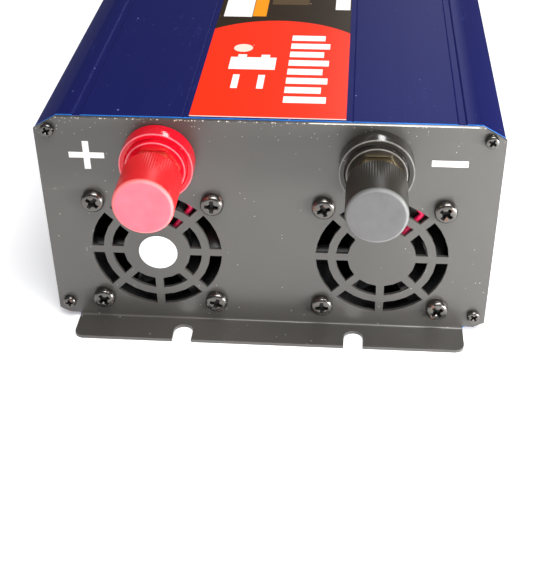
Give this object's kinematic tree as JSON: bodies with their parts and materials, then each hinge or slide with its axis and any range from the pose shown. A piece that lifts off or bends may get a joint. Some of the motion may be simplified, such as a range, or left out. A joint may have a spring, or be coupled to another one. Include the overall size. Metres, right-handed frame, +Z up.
{
  "type": "power inverter",
  "caption": "Power inverter in a blue extruded case with black end plates, fan grilles, battery posts, mains outlets and a rocker switch.",
  "frame": {"origin": "centre of the case's underside, on the surface it stands on", "axes": "+X to the right when facing the battery posts, +Y from the battery end to the mains end, +Z up"},
  "size_m": [0.1888, 0.349, 0.1008],
  "materials": {
    "blue_anodised": "satin blue anodised extrusion",
    "black_coat": "semi-gloss black paint",
    "black_screw": "black zinc",
    "red_plastic": "glossy",
    "black_plastic": "glossy",
    "brass": "plated",
    "zinc_steel": "zinc plated",
    "fan_plastic": "matte",
    "label_print": "gloss laminated film",
    "white_paper": "satin",
    "circuit_board": "solder mask",
    "aluminium": "milled",
    "epoxy": "moulded",
    "ferrite": "fired",
    "winding_tape": "polyester tape",
    "copper_wire": "enamelled copper",
    "capacitor_sleeve": "shrink sleeve",
    "red_cable": "insulation",
    "black_cable": "insulation",
    "outlet_plastic": "moulded",
    "switch_red": "glossy",
    "green_lens": "translucent",
    "red_lens": "translucent"
  },
  "bodies": {
    "chassis": {"black_dc_lead": "black_cable", "black_inner_washer": "black_plastic", "black_post_base": "black_plastic", "black_post_nut": "zinc_steel", "black_post_stud": "brass", "bus_capacitor": "capacitor_sleeve", "earth_screw": "black_screw", "fault_lamp": "red_lens", "front_plate": "black_coat", "front_plate_screw_bottom_left": "black_screw", "front_plate_screw_bottom_right": "black_screw", "front_plate_screw_top_left": "black_screw", "front_plate_screw_top_right": "black_screw", "input_capacitor_left": "capacitor_sleeve", "input_capacitor_right": "capacitor_sleeve", "inspection_sticker": "white_paper", "left_fan_frame": "fan_plastic", "left_fan_lead": "red_cable", "left_fan_screw_bottom_left": "black_screw", "left_fan_screw_bottom_right": "black_screw", "left_fan_screw_top_left": "black_screw", "left_fan_screw_top_right": "black_screw", "left_heatsink": "aluminium", "left_outlet": "outlet_plastic", "left_transistor_bank": "epoxy", "lower_shell": "blue_anodised", "main_board": "circuit_board", "output_choke": "copper_wire", "power_lamp": "green_lens", "rear_plate": "black_coat", "rear_plate_screw_bottom_left": "black_screw", "rear_plate_screw_bottom_right": "black_screw", "rear_plate_screw_top_left": "black_screw", "rear_plate_screw_top_right": "black_screw", "red_dc_lead": "red_cable", "red_inner_washer": "red_plastic", "red_post_base": "red_plastic", "red_post_nut": "zinc_steel", "red_post_stud": "brass", "right_fan_frame": "fan_plastic", "right_fan_lead": "red_cable", "right_fan_screw_bottom_left": "black_screw", "right_fan_screw_bottom_right": "black_screw", "right_fan_screw_top_left": "black_screw", "right_fan_screw_top_right": "black_screw", "right_heatsink": "aluminium", "right_outlet": "outlet_plastic", "right_transistor_bank": "epoxy", "switch_housing": "black_plastic", "top_label": "label_print", "transformer_core": "ferrite", "transformer_winding": "winding_tape", "upper_shell": "blue_anodised"},
    "black_clamp_washer": {"black_clamp_washer": "zinc_steel"},
    "black_knob": {"black_knob": "black_plastic"},
    "left_fan_rotor": {"left_fan_rotor": "fan_plastic"},
    "red_clamp_washer": {"red_clamp_washer": "zinc_steel"},
    "red_knob": {"red_knob": "red_plastic"},
    "right_fan_rotor": {"right_fan_rotor": "fan_plastic"},
    "switch_rocker": {"switch_rocker": "switch_red"}
  },
  "joints": [
    {"name": "left_fan_spin", "type": "hinge", "parent": "chassis", "child": "left_fan_rotor", "pos_m": [-0.04815, -0.135, 0.0373], "axis": [0, 1, 0], "continuous": true},
    {"name": "right_fan_spin", "type": "hinge", "parent": "chassis", "child": "right_fan_rotor", "pos_m": [0.04815, -0.135, 0.0373], "axis": [0, 1, 0], "continuous": true},
    {"name": "red_clamp_slide", "type": "slide", "parent": "chassis", "child": "red_clamp_washer", "axis": [0, -1, 0], "range_m": [-0.0009, 0.005]},
    {"name": "red_knob_turn", "type": "hinge", "parent": "red_clamp_washer", "child": "red_knob", "pos_m": [-0.044, -0.163, 0.083], "axis": [0, -1, 0], "range_deg": [-259.2, 1440]},
    {"name": "black_clamp_slide", "type": "slide", "parent": "chassis", "child": "black_clamp_washer", "axis": [0, -1, 0], "range_m": [-0.002, 0.003]},
    {"name": "black_knob_turn", "type": "hinge", "parent": "black_clamp_washer", "child": "black_knob", "pos_m": [0.044, -0.1641, 0.083], "axis": [0, -1, 0], "range_deg": [-576, 864]},
    {"name": "power_switch_rock", "type": "hinge", "parent": "chassis", "child": "switch_rocker", "pos_m": [0.057, 0.1491, 0.068], "axis": [1, 0, 0], "range_deg": [-18, 0]}
  ],
  "couplings": [
    {"joint": "red_knob_turn", "follows": "red_clamp_slide", "rad_per_m": 5026.5},
    {"joint": "black_knob_turn", "follows": "black_clamp_slide", "rad_per_m": 5026.5}
  ]
}
